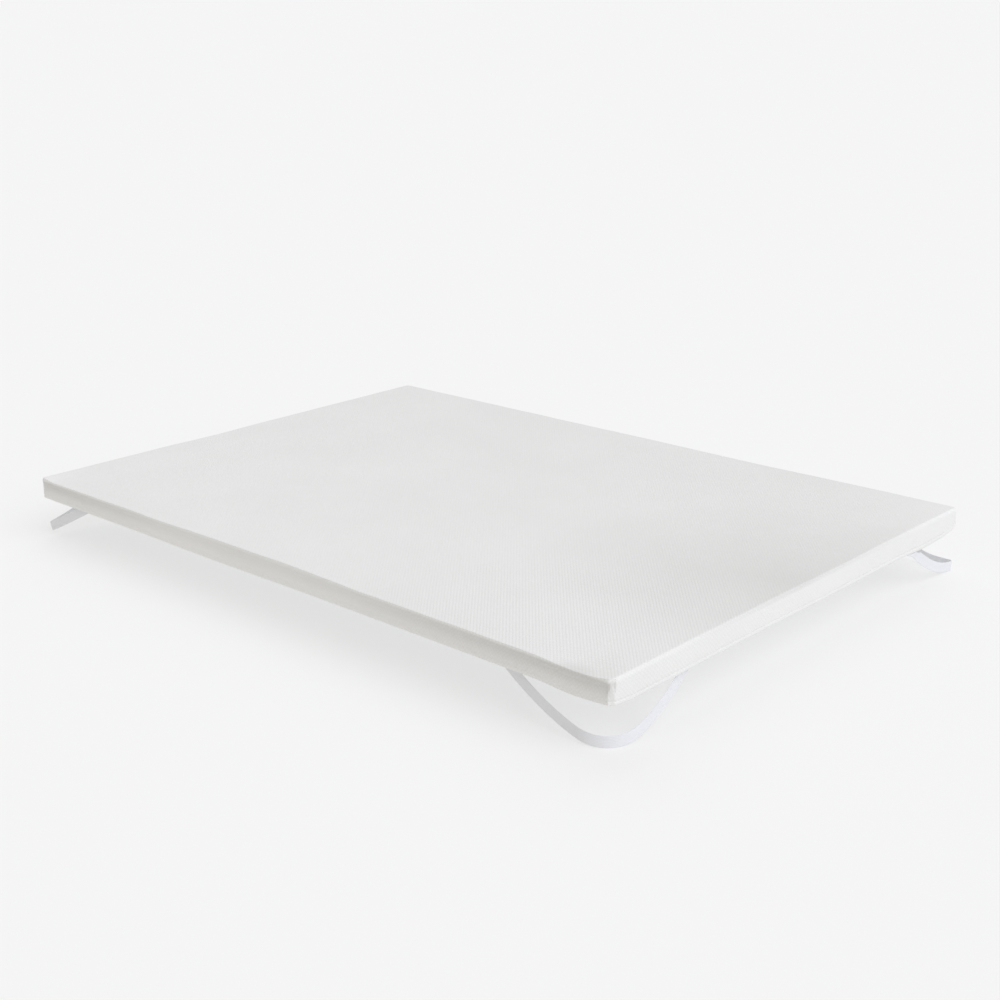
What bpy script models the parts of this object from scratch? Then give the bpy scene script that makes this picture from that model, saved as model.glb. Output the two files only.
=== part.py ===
"""Mattress topper: a thin filled pad with a looped elastic strap under each corner.

Metres, +Z up. The origin lies on the floor under the middle of the pad. X runs along the short
side and Y along the long side. The straps hang as they do round a mattress's corners, and the
topper stands on the lowest run of those that reach the floor.
"""
import math

import bmesh
import bpy

# Pad: a filled knit cover, its underside flat and its top slightly crowned.
PAD_WIDTH = 1.400
PAD_LENGTH = 2.000
PAD_THICKNESS = 0.057
PAD_CROWN = 0.003
# Radius of each corner, from the near right one anticlockwise.
CORNER_RADII = (0.0055, 0.009, 0.008, 0.011)
TOP_RIM_WIDTH = 0.005
TOP_RIM_HEIGHT = 0.0085
BOTTOM_RIM_RADIUS = 0.0035
SIDE_HOLLOW = 0.0015
SIDE_DRAW_IN = 0.002

# Strap: a flat elastic band, standing on edge round the corner and folded flat where it is sewn.
STRAP_WIDTH = 0.026
STRAP_THICKNESS = 0.0018
STRAP_UPRIGHT_REACH = 0.030
STRAP_LEVELLING_SHARE = 0.6
STRAP_FOLD_RADIUS = 0.003
STRAP_TAB_DEPTH = 0.022
SEAM_GAP = 0.0003

# The straps, each stretched a little differently. The signs say which corner. drop is how far the
# strap hangs under the pad, inset is from the pad's edge, turn is the radius round the corner and
# flat the half run that lies level. The band then rises to its folds over a span along the long
# side and one along the short side, as a power of the distance: near 1 it is taut and straight,
# and over 2 it hangs slack. tuck is how far its lower edge is pulled in at the corner.
STRAPS = (
    {"name": "strap_near_left", "sign_x": -1, "sign_y": -1, "drop": 0.112,
     "inset": 0.0105, "turn": 0.085, "flat": 0.0, "tuck": 0.0,
     "long_span": 0.2373, "long_power": 1.74, "short_span": 0.2206, "short_power": 2.14},
    {"name": "strap_near_right", "sign_x": 1, "sign_y": -1, "drop": 0.112,
     "inset": 0.0006, "turn": 0.006, "flat": 0.005, "tuck": 0.0,
     "long_span": 0.171, "long_power": 3.40, "short_span": 0.2127, "short_power": 1.72},
    {"name": "strap_far_right", "sign_x": 1, "sign_y": 1, "drop": 0.112,
     "inset": 0.008, "turn": 0.040, "flat": 0.016, "tuck": 0.0,
     "long_span": 0.222, "long_power": 2.00, "short_span": 0.218, "short_power": 2.10},
    {"name": "strap_far_left", "sign_x": -1, "sign_y": 1, "drop": 0.097,
     "inset": 0.0062, "turn": 0.008, "flat": 0.0, "tuck": 0.0048,
     "long_span": 0.1688, "long_power": 1.06, "short_span": 0.2385, "short_power": 1.20},
)
TUCK_REACH = 0.070

# Steps of the meshes.
CORNER_STEPS = 5
CORNER_SIGNS = ((1, -1), (1, 1), (-1, 1), (-1, -1))
# The side after each corner: long, short, long, short.
SIDE_STEP_COUNTS = (26, 20, 26, 20)
RIM_STEPS = 4
SIDE_STEPS = 4
TURN_STEPS = 5
RISE_STEPS = 14
FOLD_STEPS = 4

UNDERSIDE_HEIGHT = max(strap["drop"] for strap in STRAPS)
TOP_RING_INSETS = (0.03, 0.07, 0.14, 0.25, 0.42, 0.62)
UNDERSIDE_RING_INSETS = (0.24, 0.10)

# Places where the soft rim has sunk: centre of the dip, its half reach along X and Y, its depth.
DIPS = (
    {"x": -0.700, "y": -0.900, "reach_x": 0.120, "reach_y": 0.105, "depth": 0.005},
    {"x": 0.100, "y": -1.000, "reach_x": 0.260, "reach_y": 0.100, "depth": 0.002},
    {"x": -0.700, "y": 0.250, "reach_x": 0.110, "reach_y": 0.330, "depth": 0.002},
    {"x": 0.700, "y": -0.350, "reach_x": 0.100, "reach_y": 0.280, "depth": 0.002},
    {"x": -0.120, "y": 1.000, "reach_x": 0.240, "reach_y": 0.110, "depth": 0.002},
)


def clear_scene():
    for old in list(bpy.data.objects):
        bpy.data.objects.remove(old, do_unlink=True)


def fabric(name, color, roughness):
    material = bpy.data.materials.new(name)
    material.use_nodes = True
    shader = material.node_tree.nodes["Principled BSDF"]
    shader.inputs["Base Color"].default_value = (*color, 1.0)
    shader.inputs["Roughness"].default_value = roughness
    shader.inputs["Metallic"].default_value = 0.0
    return material


def add_object(name, mesh_data, material):
    """Closes a bmesh into a named object with its faces pointing out."""
    bmesh.ops.recalc_face_normals(mesh_data, faces=mesh_data.faces)
    mesh = bpy.data.meshes.new(name)
    mesh_data.to_mesh(mesh)
    mesh_data.free()
    mesh.shade_smooth()
    mesh.set_sharp_from_angle(angle=math.radians(40))
    mesh.materials.append(material)
    part = bpy.data.objects.new(name, mesh)
    bpy.context.collection.objects.link(part)
    return part


def smooth_step(amount):
    clamped = min(max(amount, 0.0), 1.0)
    return clamped * clamped * (3.0 - 2.0 * clamped)


# The pad


def turned_out(centre, radius, angle):
    return (centre[0] + radius * math.cos(angle), centre[1] + radius * math.sin(angle))


def outline(inset):
    """Points of a rounded rectangle, anticlockwise, closest together near its corners."""
    centres = []
    for radius, (sign_x, sign_y) in zip(CORNER_RADII, CORNER_SIGNS):
        x = sign_x * (PAD_WIDTH / 2 - inset - radius)
        y = sign_y * (PAD_LENGTH / 2 - inset - radius)
        centres.append((x, y))
    points = []
    for number, steps in enumerate(SIDE_STEP_COUNTS):
        following = (number + 1) % len(CORNER_RADII)
        facing = 0.5 * math.pi * number
        start = turned_out(centres[number], CORNER_RADII[number], facing)
        end = turned_out(centres[following], CORNER_RADII[following], facing)
        for step in range(steps + 1):
            along = 0.5 - 0.5 * math.cos(math.pi * step / steps)
            points.append((start[0] + (end[0] - start[0]) * along, start[1] + (end[1] - start[1]) * along))
        for step in range(1, CORNER_STEPS):
            angle = facing + 0.5 * math.pi * step / CORNER_STEPS
            points.append(turned_out(centres[following], CORNER_RADII[following], angle))
    return points


def sunk(x, y):
    """How far the pad has sunk at a place in plan."""
    depth = 0.0
    for dip in DIPS:
        across = ((x - dip["x"]) / dip["reach_x"]) ** 2 + ((y - dip["y"]) / dip["reach_y"]) ** 2
        depth += dip["depth"] * max(1.0 - across, 0.0) ** 2
    return depth


def pad_point(x, y, height):
    """Draws a point in towards the middle of its side and lets it sink in a dip."""
    draw_x = SIDE_DRAW_IN / (PAD_WIDTH / 2) * math.cos(math.pi * y / PAD_LENGTH)
    draw_y = SIDE_DRAW_IN / (PAD_LENGTH / 2) * math.cos(math.pi * x / PAD_WIDTH)
    z = UNDERSIDE_HEIGHT + height - sunk(x, y)
    return (x * (1.0 - draw_x), y * (1.0 - draw_y), z)


def pad_profile():
    """Inset from the outline and height over the underside, from the underside round to the top."""
    profile = [(inset, 0.0) for inset in UNDERSIDE_RING_INSETS]
    for step in range(RIM_STEPS + 1):
        angle = 0.5 * math.pi * step / RIM_STEPS
        inset = BOTTOM_RIM_RADIUS * (1.0 - math.sin(angle))
        profile.append((inset, BOTTOM_RIM_RADIUS * (1.0 - math.cos(angle))))
    side_height = PAD_THICKNESS - TOP_RIM_HEIGHT - BOTTOM_RIM_RADIUS
    for step in range(1, SIDE_STEPS):
        part = step / SIDE_STEPS
        hollow = SIDE_HOLLOW * math.sin(math.pi * part)
        profile.append((hollow, BOTTOM_RIM_RADIUS + side_height * part))
    for step in range(RIM_STEPS + 1):
        angle = 0.5 * math.pi * step / RIM_STEPS
        inset = TOP_RIM_WIDTH * (1.0 - math.cos(angle))
        profile.append((inset, PAD_THICKNESS - TOP_RIM_HEIGHT * (1.0 - math.sin(angle))))
    for inset in TOP_RING_INSETS:
        crown = PAD_CROWN * math.sin(math.pi * inset / PAD_WIDTH)
        profile.append((inset, PAD_THICKNESS + crown))
    return profile


def add_pad(material):
    pad = bmesh.new()
    rings = []
    for inset, height in pad_profile():
        ring = [pad.verts.new(pad_point(x, y, height)) for x, y in outline(inset)]
        rings.append(ring)
    for lower, upper in zip(rings, rings[1:]):
        count = len(lower)
        for index in range(count):
            after = (index + 1) % count
            pad.faces.new((lower[index], lower[after], upper[after], upper[index]))
    pad.faces.new(list(reversed(rings[0])))
    pad.faces.new(rings[-1])
    return add_object("topper_pad", pad, material)


# The straps


def turn_point(strap, run):
    """Distances of the band's middle layer from the pad's two edges, and its inward direction.

    run is measured along the band from the middle of its turn: negative along the pad's long
    side, positive along the short one. Each result has the part across X first.
    """
    inset = strap["inset"] + STRAP_THICKNESS / 2
    half_turn = strap["turn"] * math.pi / 4
    angle = math.pi / 4 - min(abs(run), half_turn) / strap["turn"]
    straight = max(abs(run) - half_turn, 0.0)
    own = inset + strap["turn"] * (1.0 - math.cos(angle))
    other = inset + strap["turn"] * (1.0 - math.sin(angle)) + straight
    inward_own = math.cos(angle)
    inward_other = math.sin(angle)
    if run < 0:
        return (own, other), (inward_own, inward_other)
    return (other, own), (inward_other, inward_own)


def band_layers(strap, run, rise, tuck):
    """The band's outer and inner face at a place, as distances from the pad's edges and a height.

    rise is measured up the band from the start of its fold under the pad. Past it the band
    turns inwards and lies flat under the pad. tuck is how far the place is pulled in.
    """
    (edge_x, edge_y), (inward_x, inward_y) = turn_point(strap, run)
    tab_height = UNDERSIDE_HEIGHT - SEAM_GAP - STRAP_THICKNESS / 2
    fold_length = STRAP_FOLD_RADIUS * math.pi / 2
    angle = min(max(rise, 0.0), fold_length) / STRAP_FOLD_RADIUS
    flat_part = max(rise - fold_length, 0.0)
    inwards = STRAP_FOLD_RADIUS * (1.0 - math.cos(angle)) + flat_part + tuck
    height = tab_height - STRAP_FOLD_RADIUS * (1.0 - math.sin(angle)) + min(rise, 0.0)
    layers = []
    for side in (1, -1):
        out = side * math.cos(angle) * STRAP_THICKNESS / 2
        up = side * math.sin(angle) * STRAP_THICKNESS / 2
        x = edge_x + inward_x * (inwards - out)
        y = edge_y + inward_y * (inwards - out)
        layers.append((x, y, height + up))
    return layers


def band_centre(strap, side, distance):
    """Height of the band's centre line against its fold, and its slope, at a distance."""
    depth = strap["drop"] - SEAM_GAP - STRAP_THICKNESS / 2 - STRAP_FOLD_RADIUS - STRAP_WIDTH / 2
    power = strap[side + "_power"]
    reach = strap[side + "_span"] - strap["flat"]
    part = max(distance - strap["flat"], 0.0) / reach
    rise = depth * (part ** power - 1.0)
    slope = depth * power / reach * part ** (power - 1.0)
    return rise, math.atan(slope)


def band_stations(strap, side):
    """Ends of each cross line over half of the band, as distances and rises, lower end first.

    The cross lines are upright round the corner, square to the band in the middle of its run,
    and turn level towards the fold. The lower ends also give how far they are tucked in.
    """
    span = strap[side + "_span"]
    half_turn = strap["turn"] * math.pi / 4
    distances = [half_turn * step / TURN_STEPS for step in range(TURN_STEPS)]
    distances += [
        half_turn + (span - half_turn) * step / RISE_STEPS for step in range(RISE_STEPS + 1)
    ]
    stations = []
    for distance in distances:
        rise, slope = band_centre(strap, side, distance)
        levelled = smooth_step((distance / span - STRAP_LEVELLING_SHARE) / (1.0 - STRAP_LEVELLING_SHARE))
        upright = 1.0 - smooth_step(distance / STRAP_UPRIGHT_REACH)
        lean = (math.pi / 2 - slope) * levelled - slope * upright
        half = STRAP_WIDTH / 2 / math.cos(lean)
        tuck = strap["tuck"] * (1.0 - smooth_step(distance / TUCK_REACH))
        if strap["tuck"] > 0.0:
            half *= 1.0 - upright * (1.0 - math.cos(slope))
        along = half * math.sin(slope + lean)
        up = half * math.cos(slope + lean)
        stations.append(((distance + along, rise - up, tuck), (distance - along, rise + up, 0.0)))
    end_slope = band_centre(strap, side, span)[1]
    half = STRAP_WIDTH / 2 / math.sin(end_slope)
    fold_length = STRAP_FOLD_RADIUS * math.pi / 2
    rises = [fold_length * step / FOLD_STEPS for step in range(1, FOLD_STEPS + 1)]
    rises.append(fold_length + STRAP_TAB_DEPTH)
    for rise in rises:
        centre = span + rise / math.tan(end_slope)
        stations.append(((centre + half, rise, 0.0), (centre - half, rise, 0.0)))
    return stations


def add_strap(strap, material):
    band = bmesh.new()
    stations = [(-1, pair) for pair in reversed(band_stations(strap, "long")[1:])]
    stations += [(1, pair) for pair in band_stations(strap, "short")]
    sections = []
    for side, (lower, upper) in stations:
        lower_outer, lower_inner = band_layers(strap, side * lower[0], lower[1], lower[2])
        upper_outer, upper_inner = band_layers(strap, side * upper[0], upper[1], upper[2])
        section = []
        for edge_x, edge_y, z in (lower_outer, lower_inner, upper_inner, upper_outer):
            x = strap["sign_x"] * (PAD_WIDTH / 2 - edge_x)
            y = strap["sign_y"] * (PAD_LENGTH / 2 - edge_y)
            section.append(band.verts.new((x, y, z)))
        sections.append(section)
    for before, after in zip(sections, sections[1:]):
        for index in range(4):
            following = (index + 1) % 4
            band.faces.new((before[index], before[following], after[following], after[index]))
    band.faces.new(sections[0])
    band.faces.new(list(reversed(sections[-1])))
    return add_object(strap["name"], band, material)


def main():
    clear_scene()
    knit_cover = fabric("knit_cover", (0.86, 0.86, 0.85), 0.9)
    elastic = fabric("elastic", (0.80, 0.82, 0.85), 0.7)
    add_pad(knit_cover)
    for strap in STRAPS:
        add_strap(strap, elastic)


main()
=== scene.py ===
"""Dresses the mattress topper: a filled knit pad and the elastic strap looped under each corner.

Metres, +Z up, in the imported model's frame. X runs along the pad's short side and Y along its long
one. The corner nearest to the camera is at -X, -Y.
"""

import math

import bpy
import numpy as np
from mathutils import Matrix, Vector, noise


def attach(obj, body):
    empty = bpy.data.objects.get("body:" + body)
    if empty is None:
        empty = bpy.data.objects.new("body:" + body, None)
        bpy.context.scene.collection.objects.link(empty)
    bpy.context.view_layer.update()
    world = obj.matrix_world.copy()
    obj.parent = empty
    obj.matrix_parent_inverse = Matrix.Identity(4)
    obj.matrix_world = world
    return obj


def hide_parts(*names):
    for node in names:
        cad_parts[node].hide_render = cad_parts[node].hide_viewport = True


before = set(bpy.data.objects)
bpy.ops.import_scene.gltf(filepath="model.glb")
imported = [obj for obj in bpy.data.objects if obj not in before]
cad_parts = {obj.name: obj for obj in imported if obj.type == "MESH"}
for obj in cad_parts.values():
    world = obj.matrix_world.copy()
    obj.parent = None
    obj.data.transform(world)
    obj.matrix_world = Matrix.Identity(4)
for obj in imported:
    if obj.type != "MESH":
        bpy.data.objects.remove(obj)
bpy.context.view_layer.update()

# Pad sizes
PAD_WIDTH = 1.400
PAD_LENGTH = 2.000
HALF_X = 0.5 * PAD_WIDTH
HALF_Y = 0.5 * PAD_LENGTH
PAD_THICKNESS = 0.057
PAD_CROWN = 0.003
TOP_RIM_WIDTH = 0.0050
TOP_RIM_HEIGHT = 0.0085
TOP_RIM_INSET = 0.0054
BOTTOM_RIM_RADIUS = 0.0020
BOTTOM_RIM_INSET = 0.0024
SIDE_DRAW_IN = 0.002
UNDERSIDE_HEIGHT = 0.112

# Pad mesh: steps along a side, fine at its corners, and the rings round the rim
FINE_STEP = 0.0008
CORNER_REACH = 0.015
STEP_GROWTH = 0.22
SIDE_STEP = 0.0056
STRAP_STEP = 0.0030
STRAP_ZONE = (0.160, 0.250)
UNDERSIDE_INSETS = (0.090, 0.070, 0.052, 0.038, 0.028, 0.020, 0.014, 0.010)
TOP_INSETS = (0.0075, 0.0105, 0.015, 0.021, 0.030, 0.044, 0.062, 0.084)
# Of how many vertices the rings keep one, where they meet the grids of the underside and the top
UNDERSIDE_STRIDES = (4, 4, 2, 2)
TOP_STRIDES = (2, 4)
BOTTOM_RIM_STEPS = 4
TOP_RIM_ANGLES = (0, 14, 28, 42, 54, 66, 78, 90)
# Side rings between the two rims: inset where the side is least drawn in, and height. The seam's
# groove is the one that is set in furthest.
SIDE_RINGS = (
    (0.0003, 0.0042), (0.0005, 0.0058), (0.0008, 0.0072), (0.0013, 0.0083),
    (0.0016, 0.0090), (0.0012, 0.0098), (0.0007, 0.0110), (0.0005, 0.0128),
    (0.0004, 0.0155), (0.0004, 0.0195), (0.0004, 0.0240), (0.0005, 0.0285),
    (0.0006, 0.0330), (0.0007, 0.0375), (0.0008, 0.0415), (0.0008, 0.0455),
)
SEAM_HEIGHT = 0.0090
# The numbers of the first ring above the seam, of the rim's first ring and of the top's
RIM_RING = len(UNDERSIDE_INSETS) + BOTTOM_RIM_STEPS + len(SIDE_RINGS)
ABOVE_SEAM_RING = RIM_RING - sum(height > SEAM_HEIGHT for _, height in SIDE_RINGS)
TOP_RING = RIM_RING + len(TOP_RIM_ANGLES)
# How much higher than its middle the side is drawn in most
DRAW_POWER = 1.7
# The filling's unevenness: waves in a metre, layer of the noise and share of two sizes of waves,
# and the rise
UNEVEN_WAVES = ((5.5, 3.1, 1.0), (13.0, 7.7, 0.5))
UNEVEN_RISE = 0.0009

# Places where the soft rim has sunk: centre of the dip, its half reach along X and Y, its depth
DIPS = (
    {"centre": (-0.700, -0.900), "reach": (0.120, 0.105), "depth": 0.005},
    {"centre": (0.100, -1.000), "reach": (0.260, 0.100), "depth": 0.002},
    {"centre": (-0.700, 0.250), "reach": (0.110, 0.330), "depth": 0.002},
    {"centre": (0.700, -0.350), "reach": (0.100, 0.280), "depth": 0.002},
    {"centre": (-0.120, 1.000), "reach": (0.240, 0.110), "depth": 0.002},
)

# How far the near short side's lower edge sags, all along it and most where one strap is sewn, and
# how far this reaches in from the edge, from the corners, and above and below the underside
EDGE_SAG = 0.006
STRAP_SAG = 0.004
STRAP_SAG_PLACE = 0.54
STRAP_SAG_REACH = 0.14
SAG_REACH_IN = 0.140
SAG_REACH_CORNER = 0.075
SAG_REACH_UP = 0.050
SAG_REACH_DOWN = 0.020

# How far the rim of the left long side sags, but for a stretch where it is held up, how far this
# reaches along the side, in from it and from the corners, and the share of the thickness it starts at
RIM_SAG = 0.0042
RIM_HOLD_PLACE = 0.10
RIM_HOLD_REACH = 0.10
RIM_SAG_REACH_ALONG = 0.32
RIM_SAG_REACH_CORNER = 0.055
RIM_SAG_REACH_IN = 0.070
RIM_SAG_FROM = 0.35

# Strap sizes
STRAP_WIDTH = 0.026
STRAP_THICKNESS = 0.0018
STRAP_UPRIGHT_REACH = 0.030
STRAP_LEVELLING_SHARE = 0.6
STRAP_FOLD_RADIUS = 0.003
STRAP_FOLD_LENGTH = STRAP_FOLD_RADIUS * math.pi / 2
STRAP_TAB_DEPTH = 0.022
SEAM_GAP = 0.0003
# Each strap, anticlockwise from the near left one: its corner, how far it hangs, the inset and the
# radius of its turn, how far it runs level there, how far its foot is tucked in, and for its long
# and its short side the place where it is sewn and the power of the curve that it hangs in
STRAPS = (
    {"name": "strap_near_left", "sign_x": -1, "sign_y": -1, "drop": 0.112,
     "inset": 0.0105, "turn": 0.085, "flat": 0.0, "tuck": 0.0,
     "long_span": 0.2373, "long_power": 1.74, "short_span": 0.2206, "short_power": 2.14},
    {"name": "strap_near_right", "sign_x": 1, "sign_y": -1, "drop": 0.112,
     "inset": 0.0006, "turn": 0.006, "flat": 0.005, "tuck": 0.0,
     "long_span": 0.171, "long_power": 3.40, "short_span": 0.2127, "short_power": 1.72},
    {"name": "strap_far_right", "sign_x": 1, "sign_y": 1, "drop": 0.112,
     "inset": 0.008, "turn": 0.040, "flat": 0.016, "tuck": 0.0,
     "long_span": 0.222, "long_power": 2.00, "short_span": 0.218, "short_power": 2.10},
    {"name": "strap_far_left", "sign_x": -1, "sign_y": 1, "drop": 0.097,
     "inset": 0.0062, "turn": 0.008, "flat": 0.0, "tuck": 0.0048,
     "long_span": 0.1688, "long_power": 1.06, "short_span": 0.2385, "short_power": 1.20},
)
TUCK_REACH = 0.070

# Camera: the photograph is 1000 pixels wide
IMAGE_PIXELS = 1000
FOCAL_PIXELS = 1551.67
CAMERA_PLACE = (-2.83277, -2.68346, 1.41569)
CAMERA_YAW = 47.2548
CAMERA_PITCH = 18.03
CAMERA_ROLL = -0.52
SENSOR = 36.0
CAMERA_CLIP_END = 2000.0


# Keeps a division by a length from dividing by zero
SMALLEST_LENGTH = 1e-9


def smooth_step(amount):
    """0 up to 0 and 1 from 1 on, with a smooth rise between them."""
    clamped = np.clip(amount, 0.0, 1.0)
    return clamped * clamped * (3.0 - 2.0 * clamped)


def add_mesh(name, points, faces, material):
    """Adds a smooth-shaded mesh object and gives it."""
    mesh = bpy.data.meshes.new(name)
    mesh.from_pydata([tuple(point) for point in points], [], faces)
    mesh.shade_smooth()
    mesh.materials.append(material)
    piece = bpy.data.objects.new(name, mesh)
    bpy.context.collection.objects.link(piece)
    return piece


def add_cloth_map(piece, corners):
    """Gives a piece its cloth coordinates, a pair for each corner of each face."""
    layer = piece.data.uv_layers.new(name="cloth")
    layer.uv.foreach_set("vector", np.array(corners, dtype=np.float32).ravel())


# Camera, floor and light


def add_camera():
    yaw, pitch, roll = (math.radians(a) for a in (CAMERA_YAW, CAMERA_PITCH, CAMERA_ROLL))
    ahead = Vector((math.sin(yaw) * math.cos(pitch), math.cos(yaw) * math.cos(pitch), -math.sin(pitch)))
    right = Vector((math.cos(yaw), -math.sin(yaw), 0.0))
    up = right.cross(ahead)
    across = right * math.cos(roll) + up * math.sin(roll)
    upward = up * math.cos(roll) - right * math.sin(roll)
    data = bpy.data.cameras.new("camera")
    data.sensor_width = SENSOR
    data.lens = SENSOR * FOCAL_PIXELS / IMAGE_PIXELS
    data.clip_end = CAMERA_CLIP_END
    camera = bpy.data.objects.new("camera", data)
    turn = Matrix((across, upward, -ahead)).transposed().to_4x4()
    camera.matrix_world = Matrix.Translation(CAMERA_PLACE) @ turn
    bpy.context.collection.objects.link(camera)
    bpy.context.scene.camera = camera


FLOOR_HALF = 400.0
FLOOR_GLOW = (0.496, 0.504, 0.5225)
FLOOR_COLOR = (0.42, 0.410, 0.385)
BACKGROUND = (0.913, 0.913, 0.913)
AMBIENT = (0.554, 0.536, 0.489)
# Three broad soft lights: direction towards each, strength in red, green and blue
LIGHTS = (
    {"name": "front", "towards": (0.0, -0.707, 0.707), "strength": (1.167, 1.230, 1.442)},
    {"name": "front_low", "towards": (0.0, -0.940, 0.342), "strength": (0.452, 0.456, 0.462)},
    {"name": "back_right", "towards": (0.5, 0.5, 0.707), "strength": (0.569, 0.605, 0.692)},
)
LIGHT_SPREAD = 60.0


def add_floor():
    paper = Nodes("floor")
    inputs = {
        "Base Color": (*FLOOR_COLOR, 1.0),
        "Roughness": 1.0,
        "Specular IOR Level": 0.0,
        "Emission Color": (*FLOOR_GLOW, 1.0),
        "Emission Strength": 1.0,
    }
    paper.feed(paper.shader, inputs)
    paper.material.cycles.emission_sampling = "NONE"
    corners = [(FLOOR_HALF * x, FLOOR_HALF * y, 0.0) for x, y in ((-1, -1), (1, -1), (1, 1), (-1, 1))]
    add_mesh("floor", corners, [(0, 1, 2, 3)], paper.material)


def add_light():
    world = bpy.data.worlds.new("studio")
    bpy.context.scene.world = world
    world.use_nodes = True
    nodes, links = world.node_tree.nodes, world.node_tree.links
    nodes.clear()
    output = nodes.new("ShaderNodeOutputWorld")
    mix = nodes.new("ShaderNodeMixShader")
    seen = nodes.new("ShaderNodeBackground")
    lighting = nodes.new("ShaderNodeBackground")
    path = nodes.new("ShaderNodeLightPath")
    seen.inputs["Color"].default_value = (*BACKGROUND, 1.0)
    lighting.inputs["Color"].default_value = (*AMBIENT, 1.0)
    links.new(path.outputs["Is Camera Ray"], mix.inputs["Fac"])
    links.new(lighting.outputs["Background"], mix.inputs[1])
    links.new(seen.outputs["Background"], mix.inputs[2])
    links.new(mix.outputs["Shader"], output.inputs["Surface"])
    for light in LIGHTS:
        strength = max(light["strength"])
        data = bpy.data.lights.new(light["name"], "SUN")
        data.energy = strength
        data.angle = math.radians(LIGHT_SPREAD)
        data.color = [channel / strength for channel in light["strength"]]
        lamp = bpy.data.objects.new(light["name"], data)
        lamp.rotation_mode = "QUATERNION"
        lamp.rotation_quaternion = Vector(light["towards"]).to_track_quat("Z", "Y")
        bpy.context.collection.objects.link(lamp)
    bpy.context.scene.view_settings.view_transform = "Standard"


# Materials


class Nodes:
    """Adds and links the nodes of one material."""

    def __init__(self, name):
        self.material = bpy.data.materials.new(name)
        self.material.use_nodes = True
        self.tree = self.material.node_tree
        self.shader = self.tree.nodes["Principled BSDF"]

    def add(self, kind, inputs=(), **settings):
        node = self.tree.nodes.new(kind)
        for key, value in settings.items():
            setattr(node, key, value)
        self.feed(node, dict(inputs))
        return node

    def feed(self, node, inputs):
        """Links or sets a node's inputs."""
        for key, value in inputs.items():
            if isinstance(value, bpy.types.NodeSocket):
                self.tree.links.new(value, node.inputs[key])
            else:
                node.inputs[key].default_value = value

    def math(self, operation, first, second=0.0):
        node = self.add("ShaderNodeMath", {0: first, 1: second}, operation=operation)
        return node.outputs[0]

    def line(self, value, low, high, first=0.0, last=1.0, kind="LINEAR"):
        """value mapped from low..high to first..last and clamped."""
        limits = {"From Min": low, "From Max": high, "To Min": first, "To Max": last}
        node = self.add("ShaderNodeMapRange", {"Value": value, **limits}, interpolation_type=kind)
        return node.outputs["Result"]

    def ramp(self, value, low, high):
        """value mapped from low..high to 0..1, smoothly."""
        return self.line(value, low, high, kind="SMOOTHSTEP")

    def between(self, amount, first, second):
        """A number between two others."""
        part = self.math("MULTIPLY", amount, self.math("SUBTRACT", second, first))
        return self.math("ADD", first, part)

    def blend(self, amount, first, second):
        """A colour between two others."""
        inputs = {"Factor": amount, 6: (*first, 1.0), 7: (*second, 1.0)}
        return self.add("ShaderNodeMix", inputs, data_type="RGBA").outputs[2]

    def fine_noise(self, place, scale, detail):
        """Flat noise over the cloth coordinates."""
        inputs = {"Vector": place, "Scale": scale, "Detail": detail}
        return self.add("ShaderNodeTexNoise", inputs, noise_dimensions="2D").outputs["Fac"]

    def surface(self, color, height, bump, rough, specular, sheen=0.0):
        """Feeds the shader. bump is the relief's strength and distance."""
        relief = {"Height": height, "Strength": bump[0], "Distance": bump[1]}
        inputs = {
            "Base Color": color,
            "Normal": self.add("ShaderNodeBump", relief).outputs["Normal"],
            "Roughness": rough,
            "Specular IOR Level": specular,
            "Sheen Weight": sheen,
        }
        self.feed(self.shader, inputs)
        return self.material


# Width of the knit's diamonds along the pad's two sides
KNIT_DIAMOND = (0.0103, 0.0092)
# Its dots, their relief and the painted shade between them, are lower on the sides and stand out most
# near one corner: the heights and the distances from that corner between which they change, and their
# relief at both ends
RELIEF_HEIGHTS = (0.158, 0.168)
SIDE_RELIEF = 0.35
TOP_RELIEF = 0.60
RELIEF_CORNER = (-0.7, -1.0, 0.169)
RELIEF_DISTANCES = (0.30, 0.85)
NEAR_RELIEF = 1.35
FAR_RELIEF = 0.60
DOT_EDGES = (0.52, 0.16)
# The knit's colour runs from the first colour to the second; the darkest end is reached only under
# painted shade
KNIT_DARK_AND_PAINTED_SHADE = (0.615, 0.608, 0.588)
KNIT_PALE = (0.835, 0.832, 0.815)
# The tones of the darkest and the palest knit; tones below 0 come only from painted shade
KNIT_TONES = (-1.2, 1.0)

# Painted light and shade on the top: a broad drift of the knit's tone from its left to its right,
# painted shade around one place and painted light around another
TOP_PAINTED_LIGHT = (0.31, 0.02)
PAINTED_SHADE_PLACE = (-0.04, -0.98, 0.162)
PAINTED_SHADE_REACH = (0.50, 0.62, 0.40)
PAINTED_SHADE_TONE = 0.95
PAINTED_LIGHT_PLACE = (0.70, -1.00, 0.162)
PAINTED_LIGHT_REACH = (0.32, 0.32, 0.32)
PAINTED_LIGHT_TONE = 0.50
# The heights between which the painted shade drifts on the sides, and those where sides become top
SIDE_PAINTED_SHADE_HEIGHTS = (0.117, 0.158)
PAINTED_LIGHT_RIM_HEIGHTS = (0.156, 0.164)
# Painted shade on the long sides: their tones at these two heights, paler low down and darker under
# the rim, what their ends add to them as more painted shade, and the distances from their middle
# between which the ends begin
LONG_SIDE_PAINTED_SHADE = (0.83, -0.05)
LONG_END_PAINTED_SHADE = (-0.40, -1.25)
LONG_SIDE_MIDDLE = 0.1
LONG_END_DISTANCES = (0.35, 1.0)
# The short sides' painted light and shade, from left to right and up, and their painted shadow along
# the lower edge
SHORT_SIDE_PAINTED_LIGHT = (-0.02, 0.18)
SHORT_RISE_PAINTED_LIGHT = (0.10, -0.05)
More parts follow.
